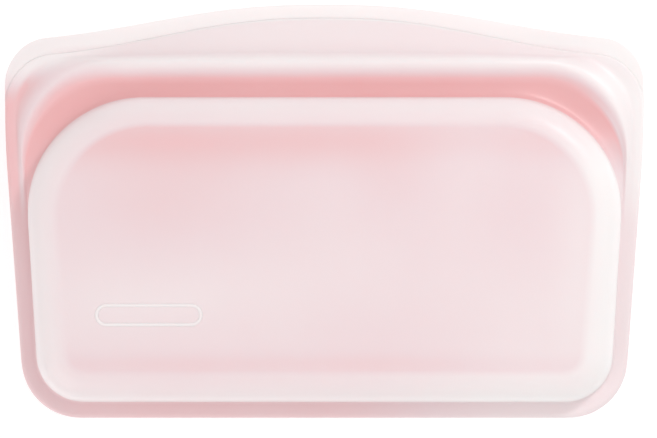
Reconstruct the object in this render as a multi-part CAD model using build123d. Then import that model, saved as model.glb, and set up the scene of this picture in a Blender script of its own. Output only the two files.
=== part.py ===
"""Reusable silicone snack bag with a pinch-shut mouth, lying on its back wall.

The bag is moulded from one soft silicone: two shallow trays that meet in a fused rim along the
sides and the bottom, and a mouth above them. Each wall of the mouth has a valley, a thick ridge
and a thin lip. A bead inside the front ridge snaps into a channel inside the back ridge.

X runs across the bag, +Y from the bottom seam to the mouth and +Z from the back wall to the front
wall. The origin is under the middle of the bag, on the surface that it lies on. In the functions
below, "up" is the height above the bottom seam and "out" the distance from the middle plane,
which is the plane of the rim.
"""

import os

from build123d import *

# Whole bag
WIDTH = 190.5  # across the mouth corners
HEIGHT = 123.3  # bottom seam to the peak of the back lip
THICKNESS = 24.0  # back wall to front wall
WALL = 1.2  # silicone wall
MIDDLE = THICKNESS / 2  # height of the rim's plane above the table

# Silhouette, as half widths and heights up from the bottom seam
BOTTOM_HALF = 89.2
SHOULDER_HALF = 94.8
SHOULDER_UP = 80.0
BOTTOM_RADIUS = 18.0
SHOULDER_RADIUS = 60.0
MOUTH_RADIUS = 11.0
BACK_LIP_EDGE = [(30.0, 121.7), (55.0, 117.7), (84.0, 113.2)]
LIP_FALL = 0.1  # fall of the lips' edges per unit of width, where they run into the corners
FRONT_LIP_PEAK = 119.3
FRONT_LIP_EDGE = [(30.0, 117.0), (50.0, 113.6), (72.0, 109.6)]

# Pocket: the two trays
POCKET_BOTTOM = 5.0
POCKET_TOP = 95.2
POCKET_BOTTOM_HALF = 84.7
POCKET_TOP_HALF = 90.3
POCKET_BOTTOM_RADIUS = 14.0
POCKET_TOP_RADIUS = 31.0
ROLL_RADIUS = 8.0  # rounding between a tray's rim wall and its panel

# Fused rim round the sides and the bottom
RIM_HALF = 1.4
SIDE_SEAM_FROM = 20.0
SIDE_SEAM_TO = 66.0

# Mouth, as distances out from the middle plane and heights up
VALLEY_INNER = 2.6
VALLEY_OUTER = VALLEY_INNER + WALL
VALLEY_ROOT = POCKET_TOP - 4.0  # the mouth's walls start inside the trays' top wall
VALLEY_END_UP = 99.0
NECK_FROM = POCKET_TOP - 3 * WALL  # the trays are open to the mouth from here up
RIDGE_CREST_UP = 106.0
RIDGE_CREST = 5.9
RIDGE_FOOT_UP = 109.4  # where the ridge ends and the lip starts
RIDGE_INNER_FROM = 101.8
RIDGE_STEP = 1.2  # length of the slope from the valley's inner face to the ridge's
RIDGE_EASE = 0.4  # the ridge's inner face ends this far below the lip
CLOSURE_GAP = 0.15  # from each ridge's inner face to the middle plane
LIP_INNER = 0.6
LIP_THICKNESS = 1.3
LIP_FLARE = 0.8  # how far each lip's edge leans outwards
LIP_BAND_UP = HEIGHT + 1.0  # the lips' band before it is cut to its wall's outline
MOUTH_HALF = 68.0  # half width of the stretch of mouth that opens
CUT_GAP = 0.3

# Closure: the bead on the front ridge and the two jaws of the channel on the back ridge
BEAD_HALF = 0.8
BEAD_REACH = 1.9  # past the middle plane
CHANNEL_HALF = 1.35
CHANNEL_DEPTH = 2.4
JAW_WIDTH = 1.7
JAW_ROUND = 0.5
JAW_TOP = 0.15

# Living hinges, each a round edge that turns in a hollow one
FRONT_FLEX_UP = 38.0
BACK_FLEX_UP = 96.8
KNUCKLE_RADIUS = WALL / 2
SOCKET_RADIUS = KNUCKLE_RADIUS + 0.1

# Raised blank frame on the front wall, in the lower left corner
FRAME_CENTRE = (-51.7, 31.0)
FRAME_SIZE = (32.0, 7.0)
FRAME_LINE = 0.9
FRAME_RAISE = 0.3

# Mouth corners: a rounded ridge that turns down beside the pocket
CORNER_RIDGE_WIDTH = 3.3
CORNER_RIDGE_HEIGHT = 4.6
CORNER_TURN = 16.0
CORNER_RIDGE_FROM = 74.0
CORNER_RIDGE_X = 90.8

FAR = 200.0  # longer than the bag, for shapes that cut
CLEAR = 1.0  # how far a cutting shape runs past the face that it opens


def at_up(up):
    """Y of a height up from the bottom seam."""
    return up - HEIGHT / 2


def at_out(out):
    """Z of a signed distance out from the middle plane."""
    return MIDDLE + out


def prism(face, out_low, out_high):
    """A face in the XY plane, carried from one distance out to another."""
    return extrude(Pos(0, 0, at_out(out_low)) * face, amount=out_high - out_low)


def slab(x_low, x_high, up_low, up_high, out_low, out_high):
    """A box given by its six sides."""
    size = (x_high - x_low, up_high - up_low, out_high - out_low)
    centre = ((x_low + x_high) / 2, at_up((up_low + up_high) / 2), at_out((out_low + out_high) / 2))
    return Pos(*centre) * Box(*size)


def section_point(up, out):
    """A point of the mouth's section, on the plane where the opening stretch starts."""
    return (-MOUTH_HALF, at_up(up), at_out(out))


def across(*outline):
    """The opening stretch of the mouth: the face inside an outline, carried across the bag."""
    return extrude(make_face(outline), amount=2 * MOUTH_HALF, dir=(1, 0, 0))


def rod(up, out, radius, half):
    """A rod across the bag."""
    return Pos(0, at_up(up), at_out(out)) * Rot(0, 90, 0) * Cylinder(radius, 2 * half)


def silhouette(peak_up, edge):
    """The outline of one wall, lip included: edge gives the lip's right half below its peak."""
    right = [(x, at_up(up)) for x, up in edge]
    left = [(-x, y) for x, y in reversed(right)]
    corner_up = edge[-1][1] - LIP_FALL * (WIDTH / 2 - edge[-1][0])
    lip = Spline(*left, (0, at_up(peak_up)), *right)
    sides = Polyline(
        right[-1],
        (WIDTH / 2, at_up(corner_up)),
        (SHOULDER_HALF, at_up(SHOULDER_UP)),
        (BOTTOM_HALF, at_up(0)),
        (-BOTTOM_HALF, at_up(0)),
        (-SHOULDER_HALF, at_up(SHOULDER_UP)),
        (-WIDTH / 2, at_up(corner_up)),
        left[0],
    )
    face = make_face([lip, sides])
    rounds = (
        (BOTTOM_HALF, 0, BOTTOM_RADIUS),
        (SHOULDER_HALF, SHOULDER_UP, SHOULDER_RADIUS),
        (WIDTH / 2, corner_up, MOUTH_RADIUS),
    )
    for x, up, radius in rounds:
        for side in (-x, x):
            corner = face.vertices().sort_by_distance((side, at_up(up), 0))[0]
            face = fillet(corner, radius)
    return face


def pocket_outline():
    """The outer outline of the trays, on the middle plane."""
    face = make_face(
        Polyline(
            (-POCKET_BOTTOM_HALF, at_up(POCKET_BOTTOM)),
            (POCKET_BOTTOM_HALF, at_up(POCKET_BOTTOM)),
            (POCKET_TOP_HALF, at_up(POCKET_TOP)),
            (-POCKET_TOP_HALF, at_up(POCKET_TOP)),
            close=True,
        )
    )
    low = face.vertices().filter_by(lambda v: v.Y < 0)
    face = fillet(low, POCKET_BOTTOM_RADIUS)
    high = face.vertices().group_by(Axis.Y)[-1]
    return fillet(high, POCKET_TOP_RADIUS)


def tray_block(outline, side, depth, roll):
    """A solid tray on one side of the middle plane (+1 front, -1 back) with a rounded panel edge."""
    low, high = sorted((0, side * depth))
    block = prism(outline, low, high)
    panel = block.faces().sort_by(Axis.Z)[-1 if side > 0 else 0]
    return fillet(panel.edges(), roll)


def tray(outline, side):
    """A tray as a shell, open towards the middle plane."""
    outer = tray_block(outline, side, THICKNESS / 2, ROLL_RADIUS)
    inner_outline = offset(outline, -WALL)
    inner = tray_block(inner_outline, side, THICKNESS / 2 - WALL, ROLL_RADIUS - WALL)
    return outer - inner


def mouth_wall(side):
    """Valley and ridge of one wall of the mouth: a straight inner face and a rounded outer one."""
    root = section_point(VALLEY_ROOT, side * VALLEY_OUTER)
    valley_end = section_point(VALLEY_END_UP, side * VALLEY_OUTER)
    crest = section_point(RIDGE_CREST_UP, side * RIDGE_CREST)
    foot = section_point(RIDGE_FOOT_UP, side * (LIP_INNER + LIP_THICKNESS))
    along, down = (0, 1, 0), (0, 1, -side * 2)
    outside = Spline(valley_end, crest, foot, tangents=[along, along, down])
    inside = [
        (RIDGE_FOOT_UP, LIP_INNER),
        (RIDGE_FOOT_UP - RIDGE_EASE, CLOSURE_GAP),
        (RIDGE_INNER_FROM, CLOSURE_GAP),
        (RIDGE_INNER_FROM - RIDGE_STEP, VALLEY_INNER),
        (VALLEY_ROOT, VALLEY_INNER),
    ]
    straight = Polyline(foot, *[section_point(up, side * out) for up, out in inside], root, valley_end)
    return across(outside, straight)


def lip(side, outline):
    """One lip, which leans outwards towards its edge, cut to the outline of its wall."""
    profile = [
        (RIDGE_FOOT_UP, LIP_INNER),
        (LIP_BAND_UP, LIP_INNER + LIP_FLARE),
        (LIP_BAND_UP, LIP_INNER + LIP_FLARE + LIP_THICKNESS),
        (RIDGE_FOOT_UP, LIP_INNER + LIP_THICKNESS),
    ]
    band = across(Polyline(*[section_point(up, side * out) for up, out in profile], close=True))
    return band & prism(outline, -MIDDLE, MIDDLE)


def opening_zone(half):
    """The region in front of the middle plane and above the flex line where the front wall lifts."""
    return slab(-half, half, FRONT_FLEX_UP, FAR, -CLEAR, FAR)


def front_wall(front_tray):
    """The fixed part of the front tray: its lower strip, its sides and its upper corners."""
    moving = opening_zone(MOUTH_HALF + CUT_GAP)
    socket = rod(FRONT_FLEX_UP, THICKNESS / 2 - WALL / 2, SOCKET_RADIUS, MOUTH_HALF + CUT_GAP)
    return front_tray - moving - socket


def front_panel(front_tray):
    """The part of the front tray that lifts with the mouth, with a round edge along the flex line."""
    moving = opening_zone(MOUTH_HALF)
    neck = slab(-FAR, FAR, NECK_FROM, FAR, -CLEAR, VALLEY_INNER)
    knuckle = rod(FRONT_FLEX_UP, THICKNESS / 2 - WALL / 2, KNUCKLE_RADIUS, MOUTH_HALF)
    return (front_tray & moving) - neck + knuckle


def ridge(side, pocket):
    """Valley and ridge of one wall of the mouth, clear of the pocket's own wall."""
    return mouth_wall(side) - prism(pocket, -MIDDLE, MIDDLE)


def back_wall(back_tray, back_ridge):
    """The back tray with the fixed edge of its valley, where the back of the mouth bends."""
    neck = slab(-MOUTH_HALF, MOUTH_HALF, NECK_FROM, FAR, -VALLEY_INNER, CLEAR)
    stub = back_ridge & slab(-FAR, FAR, 0, BACK_FLEX_UP, -MIDDLE, 0)
    socket = rod(BACK_FLEX_UP, -VALLEY_INNER - WALL / 2, SOCKET_RADIUS, MOUTH_HALF)
    return back_tray - neck + stub - socket


def back_closure_ridge(back_ridge):
    """The part of the back ridge beyond the flex line, hollowed for the closure's channel."""
    moving = back_ridge & slab(-FAR, FAR, BACK_FLEX_UP, FAR, -MIDDLE, 0)
    knuckle = rod(BACK_FLEX_UP, -VALLEY_INNER - WALL / 2, KNUCKLE_RADIUS, MOUTH_HALF)
    reach = CHANNEL_HALF + JAW_WIDTH
    channel = slab(-FAR, FAR, RIDGE_CREST_UP - reach, RIDGE_CREST_UP + reach, -CHANNEL_DEPTH, CLEAR)
    return moving + knuckle - channel


def closure_bead():
    """The bead that snaps into the channel: a straight neck with a round nose."""
    neck = slab(
        -MOUTH_HALF,
        MOUTH_HALF,
        RIDGE_CREST_UP - BEAD_HALF,
        RIDGE_CREST_UP + BEAD_HALF,
        BEAD_HALF - BEAD_REACH,
        CLOSURE_GAP,
    )
    return neck + rod(RIDGE_CREST_UP, BEAD_HALF - BEAD_REACH, BEAD_HALF, MOUTH_HALF)


def channel_jaw(side):
    """One side of the channel (-1 towards the pocket, +1 towards the lips), rounded at its tip."""
    low, high = sorted((side * CHANNEL_HALF, side * (CHANNEL_HALF + JAW_WIDTH)))
    jaw = slab(
        -MOUTH_HALF,
        MOUTH_HALF,
        RIDGE_CREST_UP + low,
        RIDGE_CREST_UP + high,
        -CHANNEL_DEPTH,
        -JAW_TOP,
    )
    tips = jaw.faces().sort_by(Axis.Z)[-1].edges().filter_by(Axis.X)
    return fillet(tips, JAW_ROUND)


def rim_part(rim, x_low, x_high, up_low, up_high):
    """The stretch of the fused rim inside a window."""
    return rim & slab(x_low, x_high, up_low, up_high, -MIDDLE, MIDDLE)


def corner_ridge():
    """The rounded ridge of the right mouth corner, from the closure's end down beside the pocket."""
    turn_x = CORNER_RIDGE_X - CORNER_TURN
    path = Polyline(
        (MOUTH_HALF + CUT_GAP, at_up(RIDGE_CREST_UP), MIDDLE),
        (turn_x, at_up(RIDGE_CREST_UP), MIDDLE),
    ) + RadiusArc(
        (turn_x, at_up(RIDGE_CREST_UP), MIDDLE),
        (CORNER_RIDGE_X, at_up(RIDGE_CREST_UP - CORNER_TURN), MIDDLE),
        CORNER_TURN,
    )
    path += Line(
        (CORNER_RIDGE_X, at_up(RIDGE_CREST_UP - CORNER_TURN), MIDDLE),
        (CORNER_RIDGE_X, at_up(CORNER_RIDGE_FROM), MIDDLE),
    )
    section = Plane(origin=path @ 0, x_dir=(0, 1, 0), z_dir=(1, 0, 0)) * Ellipse(
        CORNER_RIDGE_WIDTH, CORNER_RIDGE_HEIGHT
    )
    return sweep(section, path=path)


def mouth_corner(rim, pocket, outline):
    """The right mouth corner, where both walls are fused and the closure ends."""
    window = slab(MOUTH_HALF + CUT_GAP, FAR, SIDE_SEAM_TO, FAR, -MIDDLE, MIDDLE)
    ridge_part = corner_ridge() - prism(pocket, -MIDDLE, MIDDLE)
    return (rim & window) + (ridge_part & prism(outline, -MIDDLE, MIDDLE))


def label_frame():
    """A thin raised frame with round ends, blank inside."""
    length, width = FRAME_SIZE
    ring = SlotOverall(length, width) - SlotOverall(length - 2 * FRAME_LINE, width - 2 * FRAME_LINE)
    x, up = FRAME_CENTRE
    return Pos(x, at_up(up), THICKNESS) * extrude(ring, amount=FRAME_RAISE)


def build():
    """Every node of the bag by name."""
    back_outline = silhouette(HEIGHT, BACK_LIP_EDGE)
    front_outline = silhouette(FRONT_LIP_PEAK, FRONT_LIP_EDGE)
    pocket = pocket_outline()
    front_tray = tray(pocket, 1)
    back_tray = tray(pocket, -1)
    front_ridge = ridge(1, pocket)
    back_ridge = ridge(-1, pocket)
    rim = prism(back_outline - pocket, -RIM_HALF, RIM_HALF)
    right_corner = mouth_corner(rim, pocket, back_outline)
    return {
        "front_wall": front_wall(front_tray),
        "back_wall": back_wall(back_tray, back_ridge),
        "bottom_seam": rim_part(rim, -FAR, FAR, 0, SIDE_SEAM_FROM),
        "left_side_seam": rim_part(rim, -FAR, 0, SIDE_SEAM_FROM, SIDE_SEAM_TO),
        "right_side_seam": rim_part(rim, 0, FAR, SIDE_SEAM_FROM, SIDE_SEAM_TO),
        "left_mouth_corner": mirror(right_corner, about=Plane.YZ),
        "right_mouth_corner": right_corner,
        "label_frame": label_frame(),
        "front_panel": front_panel(front_tray),
        "front_closure_ridge": front_ridge,
        "closure_bead": closure_bead(),
        "front_lip": lip(1, front_outline),
        "back_closure_ridge": back_closure_ridge(back_ridge),
        "channel_lower_jaw": channel_jaw(-1),
        "channel_upper_jaw": channel_jaw(1),
        "back_lip": lip(-1, back_outline),
    }


os.makedirs("parts", exist_ok=True)
for name, shape in build().items():
    export_step(shape, f"parts/{name}.step")
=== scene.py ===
# %% [markdown]
# # A reusable silicone bag
# This notebook dresses a small pink food bag. The real bag is two shallow trays of soft, frosted
# silicone, moulded and then fused along the sides and the bottom. Above the trays is a mouth that
# pinches shut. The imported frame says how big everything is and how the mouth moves. Here the bag
# gets its skin: smooth walls, rounded rolls, curved lips and a milky, slightly see-through finish.

# %% Load the frame
import math
from collections import namedtuple

import bmesh
import bpy
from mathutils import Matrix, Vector, noise
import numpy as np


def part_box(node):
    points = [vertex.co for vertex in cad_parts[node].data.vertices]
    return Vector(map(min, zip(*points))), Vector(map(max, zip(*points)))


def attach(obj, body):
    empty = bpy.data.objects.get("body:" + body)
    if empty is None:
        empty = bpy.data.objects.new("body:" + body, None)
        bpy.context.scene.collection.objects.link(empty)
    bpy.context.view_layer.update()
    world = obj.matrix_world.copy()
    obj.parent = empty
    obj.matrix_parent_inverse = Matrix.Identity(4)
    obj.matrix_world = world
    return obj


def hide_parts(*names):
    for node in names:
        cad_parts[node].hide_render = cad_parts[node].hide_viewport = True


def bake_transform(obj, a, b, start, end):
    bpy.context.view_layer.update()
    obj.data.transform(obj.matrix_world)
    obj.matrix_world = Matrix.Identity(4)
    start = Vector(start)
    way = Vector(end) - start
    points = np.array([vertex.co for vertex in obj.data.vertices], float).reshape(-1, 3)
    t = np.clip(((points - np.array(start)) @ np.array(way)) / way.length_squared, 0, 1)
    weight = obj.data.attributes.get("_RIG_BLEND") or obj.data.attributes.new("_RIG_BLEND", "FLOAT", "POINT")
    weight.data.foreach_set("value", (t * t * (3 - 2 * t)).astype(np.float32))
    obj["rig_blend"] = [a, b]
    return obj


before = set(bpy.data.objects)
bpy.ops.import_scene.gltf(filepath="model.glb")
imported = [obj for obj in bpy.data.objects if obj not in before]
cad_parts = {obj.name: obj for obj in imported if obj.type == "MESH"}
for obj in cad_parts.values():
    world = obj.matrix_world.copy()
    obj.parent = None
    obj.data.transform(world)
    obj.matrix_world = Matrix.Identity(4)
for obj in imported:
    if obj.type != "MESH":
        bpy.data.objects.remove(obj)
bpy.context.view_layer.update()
MM = 0.001

# %% [markdown]
# ## The view
# A flat bag is best seen square on, from straight above the table that it lies on. A long lens from
# some way off keeps its sides parallel. The camera comes first, so that each new piece can be looked
# at as soon as it is made.

# %% Camera
AIM = Vector((1.2, -2.4, 12.0)) * MM  # the middle of the view, on the plane of the bag's rim
VIEW_WIDTH = 195.85 * MM
CAMERA_HEIGHT = 0.9
camera_data = bpy.data.cameras.new("view_from_above")
camera_data.lens = camera_data.sensor_width * CAMERA_HEIGHT / VIEW_WIDTH
camera = bpy.data.objects.new("view_from_above", camera_data)
camera.location = AIM + Vector((0, 0, CAMERA_HEIGHT))
bpy.context.scene.collection.objects.link(camera)
bpy.context.scene.camera = camera
bpy.context.scene.view_settings.view_transform = "Standard"
print("lens:", round(camera_data.lens), "mm")

# %% [markdown]
# ## Rings round the bag
# Every contour of the bag is the same kind of curve: a bottom edge, two slanted sides and a top edge
# with rounded corners. The trays' foot is one, the crest of the closure ridge another, the lips'
# edges two more. So one short description, a ring, gives them all. A ring is cut into rows up its
# sides, the same number on every ring, and a point's station is its row and how far across it is.

# %% Rings
ARC_ROWS = 10  # rows in a bottom corner
SIDE_ROWS = 26  # rows in a straight side
TURN_ROWS = 16  # rows in a top corner
ROWS = ARC_ROWS + SIDE_ROWS + TURN_ROWS
COLUMNS = 56
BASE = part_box("bottom_seam")[0].y  # the bottom seam's edge, from which "up" is measured
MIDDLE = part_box("back_wall")[1].z  # the plane where the two halves of the bag are fused
SHOULDER_UP = 72 * MM
SHOULDER_PULL = 1.6  # per metre: the sides draw in above the shoulder
ARCH_FROM = 95 * MM  # up the sides: the arch over the mouth grows in above this
ARCH_POWER = 2.45  # 2 is a bell, more is flatter on top
Ring = namedtuple("Ring", "bottom low_half top high_half low_radius high_radius rise spread")


def ring(bottom, low_half, top, high_half, low_radius, high_radius, rise=0.0, spread=1.0):
    """A ring from its sizes in millimetres: rise and spread are those of its arch."""
    sizes = (bottom, low_half, top, high_half, low_radius, high_radius, rise, spread)
    return Ring(*[size * MM for size in sizes])


def smooth(low, high, value):
    """0 below low, 1 above high and an even S between them."""
    share = min(1.0, max(0.0, (value - low) / (high - low)))
    return share * share * (3 - 2 * share)


def mix(low, high, share):
    """The value a share of the way from low to high."""
    return low + (high - low) * share


def on_arc(centre_x, centre_up, radius, turn):
    """The (x, up) point of a rounded corner at an angle from level."""
    return centre_x + radius * math.cos(turn), centre_up + radius * math.sin(turn)


def ring_rows(shape):
    """The (x, up) points of a ring's right side, from its bottom edge round to its top edge."""
    lean = math.atan2(shape.top - shape.bottom, shape.high_half - shape.low_half)
    low_x = shape.low_half - shape.low_radius * math.tan(lean / 2)
    high_x = shape.high_half - shape.high_radius * math.tan((math.pi - lean) / 2)
    low_up, high_up = shape.bottom + shape.low_radius, shape.top - shape.high_radius
    level = lean - math.pi / 2
    points = []
    for row in range(ARC_ROWS + 1):
        turn = mix(-math.pi / 2, level, row / ARC_ROWS)
        points.append(on_arc(low_x, low_up, shape.low_radius, turn))
    upper = []
    for row in range(TURN_ROWS + 1):
        turn = mix(level, math.pi / 2, row / TURN_ROWS)
        upper.append(on_arc(high_x, high_up, shape.high_radius, turn))
    start, end = points[-1], upper[0]
    for row in range(1, SIDE_ROWS):
        share = row / SIDE_ROWS
        points.append((mix(start[0], end[0], share), mix(start[1], end[1], share)))
    return points + upper


def ring_point(shape, across, row):
    """The (x, up) place on a ring of the station in that row and that share across."""
    x, up = ROWS_OF[shape][row]
    x *= across
    pull = SHOULDER_PULL * max(0.0, up - SHOULDER_UP) ** 2 * abs(x) / shape.high_half
    arch = shape.rise * math.exp(-((abs(x) / shape.spread) ** ARCH_POWER))
    return x - math.copysign(pull, x), up + arch * smooth(ARCH_FROM, shape.top, up)


PANEL = ring(15.0, 74.7, 85.8, 80.3, 5.0, 26.0)
POCKET = ring(5.0, 84.7, 95.2, 90.3, 14.0, 34.0)
VALLEY = ring(3.7, 86.0, 99.4, 90.0, 15.2, 24.5)
CREST = ring(2.6, 87.0, 106.0, 91.4, 16.2, 26.0)
FOOT = ring(1.7, 87.6, 106.8, 93.6, 16.6, 15.5, rise=2.6, spread=80)
FRONT_EDGE = ring(0.0, 89.1, 106.8, 97.0, 17.5, 12.0, rise=12.5, spread=62)
BACK_EDGE = ring(0.0, 89.1, 111.5, 97.35, 17.5, 11.0, rise=11.8, spread=66)
BACK_FOOT = ring(1.7, 87.6, 109.4, 94.0, 16.6, 15.0)
RINGS = (PANEL, POCKET, VALLEY, CREST, FOOT, BACK_FOOT, FRONT_EDGE, BACK_EDGE)
ROWS_OF = {shape: ring_rows(shape) for shape in RINGS}
print("rings:", len(RINGS), "stations round each:", 2 * (ROWS + COLUMNS))

# %% [markdown]
# ## How thick the bag is along a station
# The wall between two rings has a profile. Across the mouth it dips into a valley, swells into the
# closure ridge and runs out into a thin lip. Down the sides all of that sinks into the flat rim. Two
# numbers steer the change: how much of the mouth a station has, and how far the two walls stand
# apart there, which is nothing at the fused corners.

# %% Profile of the wall
RIM = 1.4 * MM  # half the fused rim's thickness
WALL = 1.2 * MM
RECESS = 0.3 * MM  # how far a panel lies below its rolled border
LIP = (1.4 * MM, 0.55 * MM)  # at the lip's foot and at its edge
FRONT_CORNER_LIP = (-0.8 * MM, 0.4 * MM)  # inner and outer faces at the fused corners
BACK_CORNER_LIP = (0.0, 1.2 * MM)
LIP_GAP = 0.03 * MM  # from the middle plane to a lip's inner face, between the corners
VALLEY_FLOOR = (1.6 * MM, 3.4 * MM)  # at the corners, and in the middle of the mouth
RIDGE_TOP = (3.0 * MM, 5.9 * MM)
NECK = 2.3 * MM  # from the middle plane to the inside of the valley
FILLET = 2.3 * MM  # at the foot of a tray
MOUTH_FADES = (60 * MM, 94 * MM)  # up the sides: the ridge grows out of the rim between these
# Painted light: between these the rim's tint goes from painted shade on the left to painted light on the
# right.
RIM_SHADE_TO_LIGHT = (-20 * MM, 84 * MM)  # the rim grows paler from left to right between these
# Above this the rim takes each course's own tints, which paint the crest's highlight streak.
HIGHLIGHT_STREAKS_FROM = (54 * MM, 72 * MM)  # up the sides: below this the rim is one plain pink
CORNERWARDS = (58 * MM, 82 * MM)  # and the mouth's tints change to its corners' between these
APART_HALF = 74 * MM  # the walls stand apart as far out as this
APART_EASE = 22 * MM


def mouth_share(across, row):
    """1 where the mouth's profile rules, 0 at the plain rim."""
    return smooth(*MOUTH_FADES, ring_point(CREST, across, row)[1])


def apart(x):
    """1 in the middle of the mouth and 0 where the two walls are fused."""
    return 1 - smooth(APART_HALF - APART_EASE, APART_HALF, abs(x))


# %% [markdown]
# ## Courses
# Each half of the bag is drawn outwards from its panel one course at a time: over the soft roll, down
# the tray's side, through the valley, over the ridge and out along the lip. The last courses turn
# round the edge and come back along the inside. A course says between which two rings it lies, how
# high it is in the mouth and on the rim, and how deep the colour is there. That depth is partly the
# silicone's own colour, paler on the thin lips and deeper where the front lip lies over the back one,
# and partly painted light: painted shade in the valley, at the corners, at the lip's tip and on the
# left of the rim, and painted highlights on the crest and its streaks, on the lip's edge, on the rolls
# and on the right of the rim.

# %% Courses of the outer face
Half = namedtuple("Half", "side foot edge corner_lip closure relief")
Course = namedtuple("Course", "inner outer share mouth rim tints")
ROLL_STEPS = 8
ROLL_FULLNESS = 2.2  # 2 is a quarter ellipse, more is squarer
ROLL_POWER = 2 / ROLL_FULLNESS
# The tints hold painted light as well as the silicone's own colour: on the rim the left tints are deeper,
# painted shade, and the right ones paler, painted light; the corner tints paint the shade and light of the
# mouth's corners.
Tints = namedtuple("Tints", "middle left_corner right_corner left right")  # of the mouth, of the rim
# Painted shade: the valley's deep pink stands for the shade in the hollow beside the pocket.
VALLEY_SHADE_TINTS = Tints(0.92, 0.92, 0.92, 0.74, 0.22)
# The flank's tints run from the valley's painted shade up to the crest's painted highlight.
FLANK_TINTS = {
    0.25: Tints(0.78, 0.84, 0.84, 0.7, 0.32),
    0.5: Tints(0.46, 0.76, 0.68, 0.6, 0.36),
    0.75: Tints(0.2, 0.6, 0.4, 0.52, 0.24),
}
# Painted highlight: the crest is pale, and down the sides its paler rim tints paint a highlight streak.
CREST_HIGHLIGHT_TINTS = Tints(0.1, 0.36, 0.16, 0.48, 0.1)
FOOT_TINTS = Tints(0.27, 0.1, 0.22, 0.74, 0.08)
LIP_TINTS = Tints(0.24, 0.08, 0.16, 0.76, 0.03)
# The edge is pale because the lips are thin, and on the front lip's rounded edge this also paints a
# highlight.
EDGE_TINTS = Tints(0.04, 0.06, 0.04, 0.76, 0.03)
# Painted shade: the tip is deeper where the front lip's edge meets the back lip.
TIP_TINTS = Tints(0.3, 0.2, 0.2, 0.76, 0.1)
# Painted shade and light: the plain rim is deeper on the left and paler on the right.
PLAIN_RIM = (0.62, 0.23)  # on the left and on the right, where the rim has no streaks
INNER_TINTS = Tints(0.3, 0.3, 0.3, 0.76, 0.1)
# Painted highlight: the roll pales towards its outside, the right roll most of all.
ROLL_TOP = (0.38, 0.24)  # how deep the roll's colour is beside the panel, and further out
ROLL_LEFT = (0.32, 0.19)
ROLL_RIGHT = (0.08, -0.06)
ROLL_PALE_AT = 0.5  # of the quarter turn
DOWN_THE_TRAY = ((0.06, 0.45), (0.24, 0.15), (0.55, 0.0), (1.0, 0.0))  # share, and share of the fillet
BEHIND_THE_RIDGE = (0.3, 0.6, 0.85, 1.0)
FOOT_TINTS_GROW = (0.2, 0.9)
ALONG_THE_LIP = ((0.35, 1.4), (0.7, 1.26), (0.93, 0.95))  # share, and millimetres high on the rim
ROUND_THE_EDGE = ((0.965, 0.55, 0.75, EDGE_TINTS), (1.0, 0.0, 0.5, TIP_TINTS))


def mix_tints(low, high, share):
    """The tints a share of the way from one set to another."""
    return Tints(*(mix(*pair, share) for pair in zip(low, high)))


def fixed(height):
    """A height that is the same all along the mouth."""
    return lambda gap: height


def opened(height):
    """A height that closes to nothing where the two walls are fused."""
    return lambda gap: gap * height


def raised(height, lift):
    """A height a fixed distance above another."""
    return lambda gap: height(gap) + lift


def between(low, high, share):
    """A height a share of the way between two others."""
    return lambda gap: mix(low(gap), high(gap), share)


def valley_floor(gap):
    """The height of the valley beside the pocket."""
    return mix(*VALLEY_FLOOR, gap)


def ridge_top(gap):
    """The height of the closure ridge."""
    return mix(*RIDGE_TOP, gap)


def lip_inner(half):
    """The lip's inner face, which runs into the other half at the corners, where they are fused."""
    return lambda gap: mix(half.corner_lip[0], LIP_GAP, gap)


def lip_outer(half, share):
    """The lip's outer face: it thins towards the edge, and at the corners of the front half."""
    return lambda gap: mix(half.corner_lip[1], mix(*LIP, share), gap)


# How far up the sides a course's rim tint gives way to its mouth tint, by the ring it starts from.
TINT_FADES = {shape: (93 * MM, 105 * MM) for shape in RINGS}
TINT_FADES[PANEL] = (70 * MM, 90 * MM)
TINT_FADES[POCKET] = (64 * MM, 92 * MM)
TINT_FADES[VALLEY] = (84 * MM, 102 * MM)
TINT_FADES[CREST] = (98 * MM, 107 * MM)


def roll_tints(turned):
    """The roll's painted highlight: it pales from the panel to its outside, most of all on the right."""
    over = smooth(0.0, ROLL_PALE_AT, turned)
    top = mix(*ROLL_TOP, over)
    return Tints(top, top, top, mix(*ROLL_LEFT, over), mix(*ROLL_RIGHT, over))


def outer_courses(half):
    """From the panel's edge to the middle of the lip's edge or of the rim's."""
    courses = []
    top = fixed(MIDDLE)
    for step in range(1, ROLL_STEPS + 1):
        turn = math.pi / 2 * step / ROLL_STEPS
        drop = max(0.0, math.cos(turn)) ** ROLL_POWER
        low = between(raised(valley_floor, FILLET), top, drop)
        rim = mix(RIM + FILLET, MIDDLE, drop)
        tints = roll_tints(step / ROLL_STEPS)
        courses.append(Course(PANEL, POCKET, math.sin(turn) ** ROLL_POWER, low, rim, tints))
    for share, lift in DOWN_THE_TRAY:
        low = raised(valley_floor, lift * FILLET)
        courses.append(Course(POCKET, VALLEY, share, low, RIM + lift * FILLET, VALLEY_SHADE_TINTS))
    for share, tints in (*FLANK_TINTS.items(), (1.0, CREST_HIGHLIGHT_TINTS)):
        rise = between(valley_floor, ridge_top, smooth(0.0, 1.0, share))
        courses.append(Course(VALLEY, CREST, share, rise, RIM, tints))
    for share in BEHIND_THE_RIDGE:
        fall = between(ridge_top, lip_outer(half, 0.0), smooth(0.0, 1.0, share))
        tints = mix_tints(CREST_HIGHLIGHT_TINTS, FOOT_TINTS, smooth(*FOOT_TINTS_GROW, share))
        courses.append(Course(CREST, half.foot, share, fall, RIM, tints))
    for share, rim in ALONG_THE_LIP:
        low = lip_outer(half, share)
        courses.append(Course(half.foot, half.edge, share, low, rim * MM, LIP_TINTS))
    for share, low, rim, tints in ROUND_THE_EDGE:
        turn = between(lip_inner(half), lip_outer(half, 1.0), low)
        courses.append(Course(half.foot, half.edge, share, turn, rim * MM, tints))
    return courses


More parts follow.
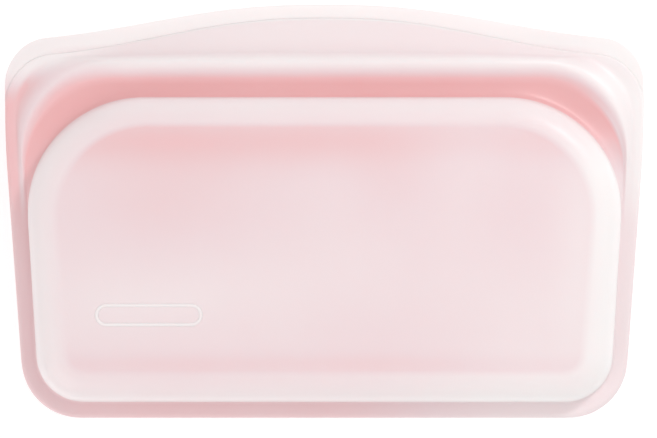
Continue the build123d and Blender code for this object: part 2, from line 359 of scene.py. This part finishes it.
# %% [markdown]
# The closure is a bead on one wall and a channel on the other. Both run along the inner face of
# the ridge, so they are simply more courses there: the bead's go down and come up, the channel's go
# up and come down. Made this way, they stretch with the wall when the mouth opens.

# %% Courses of the inner face
BEAD = ((0.85, 0.15), (0.72, -0.3), (0.8, -1.1), (0.5, -1.75), (0.0, -1.95))
CHANNEL = ((1.55, 0.15), (1.38, 0.4), (1.36, 2.2), (1.2, 2.4), (0.0, 2.4))
LIPS_SIDE = ((2.3, 0.5), (1.9, 0.15))  # millimetres from the closure's line, and high
POCKET_SIDE = ((-4.2, 0.15), (-5.2, 1.9), (-5.8, 2.3))
INSIDE_THE_LIP = (0.985, 0.93, 0.45)
INNER_REACH = 0.885  # the inner wall stands a wall's thickness inside the outer one


def rail(up):
    """A ring that runs along the closure, at a height up in the middle of the bag."""
    return CREST._replace(top=up * MM)


def closure_profile(half_profile):
    """Both sides of a profile about the closure's line, from the lips' side to the pocket's."""
    low_side = [(-offset, height) for offset, height in reversed(half_profile[:-1])]
    return list(half_profile) + low_side


def inner_courses(half):
    """From the lip's edge back to the inner panel's edge."""
    courses = []
    for share in INSIDE_THE_LIP:
        courses.append(Course(half.foot, half.edge, share, lip_inner(half), 0.0, EDGE_TINTS))
    line = CREST.top / MM
    for offset, height in (*LIPS_SIDE, *closure_profile(half.closure), *POCKET_SIDE):
        course_ring = rail(line + offset)
        ROWS_OF[course_ring] = ring_rows(course_ring)
        TINT_FADES[course_ring] = TINT_FADES[CREST]
        courses.append(Course(course_ring, course_ring, 1.0, opened(height * MM), 0.0, INNER_TINTS))
    courses.append(Course(POCKET, VALLEY, 1.0, opened(NECK), 0.0, INNER_TINTS))
    courses.append(Course(POCKET, VALLEY, 0.0, opened(NECK), 0.0, INNER_TINTS))
    steps = ROLL_STEPS - 2
    for step in range(steps, -1, -1):
        turn = math.pi / 2 * step / steps
        drop = max(0.0, math.cos(turn)) ** ROLL_POWER
        low = between(opened(NECK), fixed(MIDDLE - WALL), drop)
        share = INNER_REACH * math.sin(turn) ** ROLL_POWER
        courses.append(Course(PANEL, POCKET, share, low, (MIDDLE - WALL) * drop, INNER_TINTS))
    return courses


# %% [markdown]
# ## The panel
# The flat face of each tray has slow waves and a slight crown, as soft rubber does. Its colour is
# uneven too, and painted light is laid into it: a band of painted shade under the top roll, and soft
# patches whose deeper colour paints shade and whose paler colour paints light. Noise alone would put
# the clouds anywhere, so a few broad bands and soft patches say where the colour deepens or pales.

# %% Waves and colours of the panel
CROWN = 0.25 * MM
CROWN_SPAN = (170 * MM, 100 * MM)
WAVES_A_METRE = (18, 26)
WAVE_SLICE = 0.4  # where the noise is cut, which picks one set of waves
WAVE_HEIGHT = 0.3 * MM
PANEL_DEPTH = 0.4
# Painted shade: the panel is deeper just under its top roll, where its surface turns away from the lamps.
SHADE_UNDER_TOP_ROLL = (83 * MM, 7 * MM, 0.24)  # how far up, its reach, and how much deeper
ABOVE_LOW_ROLL = (17 * MM, 3 * MM, 0.1)
# The patches copy the panel's uneven shading: the deeper ones paint shade, the paler ones, most of them on
# the right, paint light.
PATCHES = (  # centre and reach in millimetres, and how much deeper or paler the colour is there
    ((-46, 66), (30, 16), 0.16),
    ((-20, 78), (46, 8), 0.06),
    ((22, 70), (14, 12), 0.1),
    ((56, 62), (14, 14), 0.04),
    ((6, 56), (14, 14), -0.01),
    ((-50, 34), (34, 9), -0.08),
    ((-10, 40), (60, 12), -0.05),
    ((60, 30), (22, 16), -0.1),
    ((48, 83), (30, 8), -0.12),
    ((76, 48), (8, 36), -0.14),
    ((62, 17), (30, 5), -0.1),
)


def panel_relief(x, up):
    """The panel's slow waves and its slight crown, in metres above its border."""
    arch_across = math.cos(x / CROWN_SPAN[0] * math.pi)
    arch_up = math.sin(up / CROWN_SPAN[1] * math.pi)
    at = Vector((x * WAVES_A_METRE[0], up * WAVES_A_METRE[1], WAVE_SLICE))
    return CROWN * arch_across * arch_up + noise.noise(at) * WAVE_HEIGHT


def band_colour(up, centre, reach, amount):
    """A soft band of deeper colour right across the panel."""
    return amount * math.exp(-(((up - centre) / reach) ** 2))


def patch_colour(x, up, centre, reach, amount):
    """A soft oval patch of deeper or paler colour: painted shade where it is deeper, painted light where it
    is paler.
    """
    across, along = (x / MM - centre[0]) / reach[0], (up / MM - centre[1]) / reach[1]
    return amount * math.exp(-(across**2) - along**2)


def panel_colour(x, up):
    """The panel's colour, with painted shade deepest under its top roll and painted light palest towards the
    lower right.
    """
    bands = band_colour(up, *SHADE_UNDER_TOP_ROLL) + band_colour(up, *ABOVE_LOW_ROLL)
    return PANEL_DEPTH + bands + sum(patch_colour(x, up, *patch) for patch in PATCHES)


# %% [markdown]
# ## One half of the bag
# Each half starts as a flat grid for its panel. Extruding the grid's edge and placing the new course
# is how a modeller would pull it by hand, and it keeps every line of the mesh running round the bag,
# as the contours do. A second grid closes the inner wall, and a subdivision surface rounds
# everything off. A shell cut from five plates would be quicker and would look like it.

# %% Draw one half
MERGE = 0.001 * MM
RELIEF_FADES = (0.7, 1.0)  # of the tray's height: the waves grow in between these
LOW_ROLL = (8 * MM, 20 * MM)  # the roll along the bottom shows a little more colour
LOW_ROLL_DEPTH = 0.09
LOW_ROLL_FADES = (0.6, 0.9)  # of the tray's height


def place(vert, layers, course, side):
    """Puts a vertex of a course at its station."""
    across, row, tint = layers
    share_across, row_at = vert[across], vert[row]
    inner = ring_point(course.inner, share_across, row_at)
    outer = ring_point(course.outer, share_across, row_at)
    x, up = mix(inner[0], outer[0], course.share), mix(inner[1], outer[1], course.share)
    mouth = mouth_share(share_across, row_at)
    height = mix(course.rim, course.mouth(apart(x)), mouth)
    vert.co = (x, BASE + up, MIDDLE + side * height)
    # The tint carries painted light: painted shade on the left of the rim and light on its right, painted
    # highlight streaks, and painted shade and light at the mouth's corners.
    streaks = (course.tints.left, course.tints.right)
    plain = streaks if course.inner == PANEL else PLAIN_RIM
    left, right = (mix(*pair, smooth(*HIGHLIGHT_STREAKS_FROM, up)) for pair in zip(plain, streaks))
    on_rim = mix(left, right, smooth(*RIM_SHADE_TO_LIGHT, x))
    corner = course.tints.left_corner if x < 0 else course.tints.right_corner
    in_mouth = mix(course.tints.middle, corner, smooth(*CORNERWARDS, abs(x)))
    vert[tint] = mix(on_rim, in_mouth, smooth(*TINT_FADES[course.inner], up))


def panel_grid(bm, layers, side, depth):
    """A grid for a panel, bent to the panel's ring. Returns its edge."""
    across, row, tint = layers
    grid = bmesh.ops.create_grid(bm, x_segments=COLUMNS, y_segments=ROWS, size=1.0)["verts"]
    for vert in grid:
        vert[across] = vert.co.x
        vert[row] = round((vert.co.y + 1) / 2 * ROWS)
        x, up = ring_point(PANEL, vert[across], vert[row])
        vert[tint] = panel_colour(x, up)
        vert.co = (x, BASE + up, MIDDLE + side * depth)
    own = set(grid)
    return [edge for edge in bm.edges if edge.is_boundary and edge.verts[0] in own]


def extrude_loop(bm, edges):
    """Extrudes a loop of edges. Returns the new vertices and the new loop."""
    made = bmesh.ops.extrude_edge_only(bm, edges=edges)["geom"]
    verts = {part for part in made if isinstance(part, bmesh.types.BMVert)}
    new_edges = [part for part in made if isinstance(part, bmesh.types.BMEdge)]
    return verts, [edge for edge in new_edges if set(edge.verts) <= verts]


def add_piece(name, bm):
    """Puts a finished mesh into the scene, as an object at the origin."""
    mesh = bpy.data.meshes.new(name)
    bm.to_mesh(mesh)
    bm.free()
    piece = bpy.data.objects.new(name, mesh)
    bpy.context.scene.collection.objects.link(piece)
    return piece


def add_rounded_piece(name, bm):
    """The same, shaded smooth and with one level of subdivision."""
    for face in bm.faces:
        face.smooth = True
    piece = add_piece(name, bm)
    rounded = piece.modifiers.new("rounded", "SUBSURF")
    rounded.levels = rounded.render_levels = 1
    print(name, "faces:", len(piece.data.polygons))
    return piece


def half_bag(name, half):
    """One half of the bag, side 1 in front and -1 behind."""
    bm = bmesh.new()
    bm.verts.layers.float.new("across")
    bm.verts.layers.int.new("row")
    bm.verts.layers.float.new("colour_depth_and_painted_light")
    floats = bm.verts.layers.float
    tint = floats["colour_depth_and_painted_light"]
    layers = (floats["across"], bm.verts.layers.int["row"], tint)
    loop = panel_grid(bm, layers, half.side, MIDDLE - RECESS)
    for course in outer_courses(half) + inner_courses(half):
        verts, loop = extrude_loop(bm, loop)
        for vert in verts:
            place(vert, layers, course, half.side)
    panel_grid(bm, layers, half.side, MIDDLE - WALL)
    bmesh.ops.remove_doubles(bm, verts=bm.verts, dist=MERGE)
    bmesh.ops.recalc_face_normals(bm, faces=bm.faces)
    for vert in bm.verts:
        height = abs(vert.co.z - MIDDLE) / MIDDLE
        relief = panel_relief(vert.co.x, vert.co.y - BASE) * half.relief
        vert.co.z += half.side * relief * smooth(*RELIEF_FADES, height)
        low = 1 - smooth(*LOW_ROLL, vert.co.y - BASE)
        vert[tint] += LOW_ROLL_DEPTH * low * smooth(*LOW_ROLL_FADES, height)
    return add_rounded_piece(name, bm)


front_skin = half_bag("front_skin", Half(1, FOOT, FRONT_EDGE, FRONT_CORNER_LIP, BEAD, 1.0))
back_skin = half_bag("back_skin", Half(-1, BACK_FOOT, BACK_EDGE, BACK_CORNER_LIP, CHANNEL, 0.4))

# %% [markdown]
# ## How the mouth opens
# When the mouth opens, the front wall bows up between two corners that stay shut, and the opening has
# the shape of a lens. Each point of the skin therefore follows the moving wall by a share: nothing
# at the corners and below the bend, everything in the middle of the lip. The frame reads that share
# from an attribute on the mesh.

# %% Bend the two walls
LENS_HALF = 78 * MM
LENS_POWER = 1.35
FRONT_BEND = (38 * MM, 100 * MM)
BACK_BEND = (89 * MM, 102 * MM)


def lens(x):
    """How open the mouth is at a distance from its middle, from 1 down to 0 at its corners."""
    return max(0.0, 1 - (x / LENS_HALF) ** 2) ** LENS_POWER


def bend(piece, moving, span):
    """Blends a piece from the pocket to a wall of the mouth, with the share of a lens."""
    start, end = ((0, BASE + up, MIDDLE) for up in span)
    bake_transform(piece, "pocket", moving, start=start, end=end)
    shares = piece.data.attributes["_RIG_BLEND"].data
    for vert, share in zip(piece.data.vertices, shares):
        share.value = lens(vert.co.x) * smooth(*span, vert.co.y - BASE)


bend(front_skin, "front_mouth", FRONT_BEND)
bend(back_skin, "back_mouth", BACK_BEND)
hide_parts("front_wall", "front_panel", "front_closure_ridge", "front_lip", "closure_bead")
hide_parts("back_wall", "back_closure_ridge", "back_lip")
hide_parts("channel_lower_jaw", "channel_upper_jaw", "left_mouth_corner", "right_mouth_corner")
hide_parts("bottom_seam", "left_side_seam", "right_side_seam")

# %% [markdown]
# ## Frosted silicone
# The real stuff is a soft pink rubber, satin rather than shiny, and a little see-through, and its
# thin lips look almost white. A shader that let light through both walls would be slow and noisy. A
# little subsurface scattering softens the shading instead, and the colour itself runs from nearly
# white to a deep pink with the depth that each course was given, which holds its painted shade and
# highlights as well as its own colour.

# %% Frosting, a node group
CLOUD_DEPTH = 0.2  # how much the clouds change the depth, in all
SATIN = (0.32, 0.58)  # the smoothest and the roughest


def add_node(tree, kind, **values):
    """A node with some of its inputs set by name."""
    node = tree.nodes.new(kind)
    for name, value in values.items():
        node.inputs[name.replace("_", " ")].default_value = value
    return node


def math_node(tree, operation, *values):
    """A Math node with numbers for its inputs, or sockets linked to them."""
    node = tree.nodes.new("ShaderNodeMath")
    node.operation = operation
    for socket, value in zip(node.inputs, values):
        if isinstance(value, bpy.types.NodeSocket):
            tree.links.new(value, socket)
        else:
            socket.default_value = value
    return node.outputs[0]


def noise_node(tree, position, **values):
    """A Noise Texture on a position."""
    node = add_node(tree, "ShaderNodeTexNoise", **values)
    tree.links.new(position, node.inputs["Vector"])
    return node.outputs["Fac"]


# The stops at 0.68 and 0.78 have their red raised: a painted glow that lifts the shaded rims, standing in
# for light scattered through the silicone.
PINKS = (  # how deep, and the colour there
    (0.0, (0.918, 0.872, 0.866, 1)),
    (0.45, (0.85, 0.687, 0.707, 1)),
    (0.68, (0.845, 0.574, 0.586, 1)),
    (0.78, (0.868, 0.525, 0.535, 1)),
    (1.0, (0.807, 0.413, 0.413, 1)),
)


def frosting_group():
    """The colour depth with its painted light, and the position, in; the pink, the satin and the grain's
    bumps out.
    """
    tree = bpy.data.node_groups.new("frosting", "ShaderNodeTree")
    tree.interface.new_socket("Depth", in_out="INPUT", socket_type="NodeSocketFloat")
    tree.interface.new_socket("Position", in_out="INPUT", socket_type="NodeSocketVector")
    tree.interface.new_socket("Pink", in_out="OUTPUT", socket_type="NodeSocketColor")
    tree.interface.new_socket("Satin", in_out="OUTPUT", socket_type="NodeSocketFloat")
    tree.interface.new_socket("Grain", in_out="OUTPUT", socket_type="NodeSocketFloat")
    entry = tree.nodes.new("NodeGroupInput")
    leave = tree.nodes.new("NodeGroupOutput")
    position = entry.outputs["Position"]

    clouds = noise_node(tree, position, Scale=16.0, Detail=2.0)
    shift = math_node(tree, "MULTIPLY_ADD", clouds, CLOUD_DEPTH, -CLOUD_DEPTH / 2)
    ramp = tree.nodes.new("ShaderNodeValToRGB")
    stops = ramp.color_ramp.elements
    stops[0].color, stops[1].color = PINKS[0][1], PINKS[-1][1]
    for depth, pink in PINKS[1:-1]:
        stops.new(depth).color = pink
    tree.links.new(math_node(tree, "ADD", entry.outputs["Depth"], shift), ramp.inputs["Fac"])
    tree.links.new(ramp.outputs["Color"], leave.inputs["Pink"])

    smears = noise_node(tree, position, Scale=45.0, Detail=4.0, Distortion=0.6)
    satin = math_node(tree, "MULTIPLY_ADD", smears, SATIN[1] - SATIN[0], SATIN[0])
    tree.links.new(satin, leave.inputs["Satin"])
    tree.links.new(noise_node(tree, position, Scale=1400.0, Detail=3.0), leave.inputs["Grain"])
    return tree


FROSTING = frosting_group()
print("frosting group:", len(FROSTING.nodes), "nodes")

# %% [markdown]
# The shader itself stays in the material. The scatter is kept short, because a long one makes these
# thin walls look grey, and the label frame, which is thinner still, has the shortest. A faint coat
# lets the rolls catch the lights as soft pale streaks.

# %% Silicone material
def silicone(name, scatter):
    """Pink silicone whose light creeps as far as scatter, in metres."""
    material = bpy.data.materials.new(name)
    material.use_nodes = True
    tree = material.node_tree
    shader = tree.nodes["Principled BSDF"]
    shader.inputs["Subsurface Weight"].default_value = 0.4
    shader.inputs["Subsurface Radius"].default_value = (1.0, 0.85, 0.84)
    shader.inputs["Subsurface Scale"].default_value = scatter
    shader.inputs["IOR"].default_value = 1.41
    shader.inputs["Sheen Weight"].default_value = 0.15
    shader.inputs["Coat Weight"].default_value = 0.15
    shader.inputs["Coat Roughness"].default_value = 0.25
    # The attribute holds each course's colour depth together with its painted shade and highlights.
    depth = tree.nodes.new("ShaderNodeAttribute")
    depth.attribute_name = "colour_depth_and_painted_light"
    frosting = tree.nodes.new("ShaderNodeGroup")
    frosting.node_tree = FROSTING
    tree.links.new(depth.outputs["Fac"], frosting.inputs["Depth"])
    position = tree.nodes.new("ShaderNodeTexCoord").outputs["Object"]
    tree.links.new(position, frosting.inputs["Position"])
    tree.links.new(frosting.outputs["Pink"], shader.inputs["Base Color"])
    tree.links.new(frosting.outputs["Satin"], shader.inputs["Roughness"])
    bump = add_node(tree, "ShaderNodeBump", Strength=0.25, Distance=0.06 * MM)
    tree.links.new(frosting.outputs["Grain"], bump.inputs["Height"])
    tree.links.new(bump.outputs["Normal"], shader.inputs["Normal"])
    return material


frosted = silicone("frosted_pink_silicone", 0.5 * MM)
for piece in (front_skin, back_skin):
    piece.data.materials.append(frosted)

# %% [markdown]
# ## A blank label frame
# Low on the left of the front wall sits a small raised frame with round ends, blank inside. Its bar
# is a rounded ridge that was cut into the mould. A circle of points stretched into a slot, extruded
# into bands and laid on the panel's own waves, makes it sit snugly, which a flat ring would not.

# %% Label frame
FRAME_BAR = 1.3 * MM
FRAME_RISE = 0.3 * MM
FRAME_SINK = 0.15 * MM  # the bar's foot is inside the wall
FRAME_POINTS = 48
FRAME_DEPTH = 0.1  # of colour
frame_low, frame_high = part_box("label_frame")
frame_centre = (frame_low + frame_high) / 2
frame_radius = (frame_high.y - frame_low.y) / 2
frame_run = (frame_high.x - frame_low.x) / 2 - frame_radius


def slot_place(angle, inset, rise):
    """A point of the slot's outline, moved in by inset, on the panel's surface."""
    radius = frame_radius - inset
    x = frame_centre.x + math.copysign(frame_run, math.cos(angle)) + radius * math.cos(angle)
    y = frame_centre.y + radius * math.sin(angle)
    surface = 2 * MIDDLE - RECESS + panel_relief(x, y - BASE)
    return x, y, surface + rise


bm = bmesh.new()
turned = bm.verts.layers.float.new("turned")
tint = bm.verts.layers.float.new("colour_depth_and_painted_light")
ring_verts = bmesh.ops.create_circle(bm, segments=FRAME_POINTS, radius=1.0)["verts"]
for vert in ring_verts:
    vert[turned] = math.atan2(vert.co.y, vert.co.x) + math.pi / FRAME_POINTS
loop = list(bm.edges)
BAR_PROFILE = ((0.0, -FRAME_SINK), (0.15, 0.3 * FRAME_RISE), (0.38, FRAME_RISE))
bar = BAR_PROFILE + tuple((1 - share, rise) for share, rise in reversed(BAR_PROFILE))
for vert in ring_verts:
    vert.co = slot_place(vert[turned], 0.0, -FRAME_SINK)
    vert[tint] = FRAME_DEPTH
for share, rise in bar[1:]:
    verts, loop = extrude_loop(bm, loop)
    for vert in verts:
        vert.co = slot_place(vert[turned], share * FRAME_BAR, rise)
bmesh.ops.bridge_loops(bm, edges=[edge for edge in bm.edges if edge.is_boundary])
bmesh.ops.recalc_face_normals(bm, faces=bm.faces)
label_ridge = add_rounded_piece("label_ridge", bm)
label_ridge.data.materials.append(silicone("frosted_pink_label", 0.3 * MM))
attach(label_ridge, "pocket")
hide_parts("label_frame")

# %% [markdown]
# ## Table
# A small translucent thing looks well on a light table: a pale surface that glows a little, so that
# it stays white and no hard shadow falls on it.

# %% Table
TABLE_HALF = 3.0
bm = bmesh.new()
bmesh.ops.create_grid(bm, x_segments=1, y_segments=1, size=TABLE_HALF)
table = add_piece("table", bm)
pale = bpy.data.materials.new("pale_table")
pale.use_nodes = True
table_shader = pale.node_tree.nodes["Principled BSDF"]
table_shader.inputs["Base Color"].default_value = (0.62, 0.62, 0.62, 1)
table_shader.inputs["Roughness"].default_value = 0.8
table_shader.inputs["Emission Color"].default_value = (1, 1, 1, 1)
table_shader.inputs["Emission Strength"].default_value = 0.5
table.data.materials.append(pale)

# %% [markdown]
# ## Lights
# Soft rubber looks best in soft light. An even white sky does much of the work, and three square
# lamps add direction: a large one high on the right, a stronger large one lower on the left, and a
# small one that the upper right roll catches.

# %% Lights
world = bpy.data.worlds.new("studio")
bpy.context.scene.world = world
world.use_nodes = True
world.node_tree.nodes["Background"].inputs["Color"].default_value = (1, 1, 1, 1)
world.node_tree.nodes["Background"].inputs["Strength"].default_value = 0.6


def softbox(name, place_at, aim, size, power):
    """A square area light that looks at a point."""
    data = bpy.data.lights.new(name, "AREA")
    data.size = size
    data.energy = power
    lamp = bpy.data.objects.new(name, data)
    lamp.location = place_at
    lamp.rotation_euler = (Vector(aim) - Vector(place_at)).to_track_quat("-Z", "Y").to_euler()
    bpy.context.scene.collection.objects.link(lamp)


softbox("key", (0.45, 0.25, 0.85), (0, 0, 0), 0.9, 1.8)
softbox("fill", (-0.6, -0.6, 0.55), (0, 0, 0), 0.8, 3.15)
softbox("kicker", (0.42, 0.42, 0.55), (0, 0, 0), 0.12, 1.7)
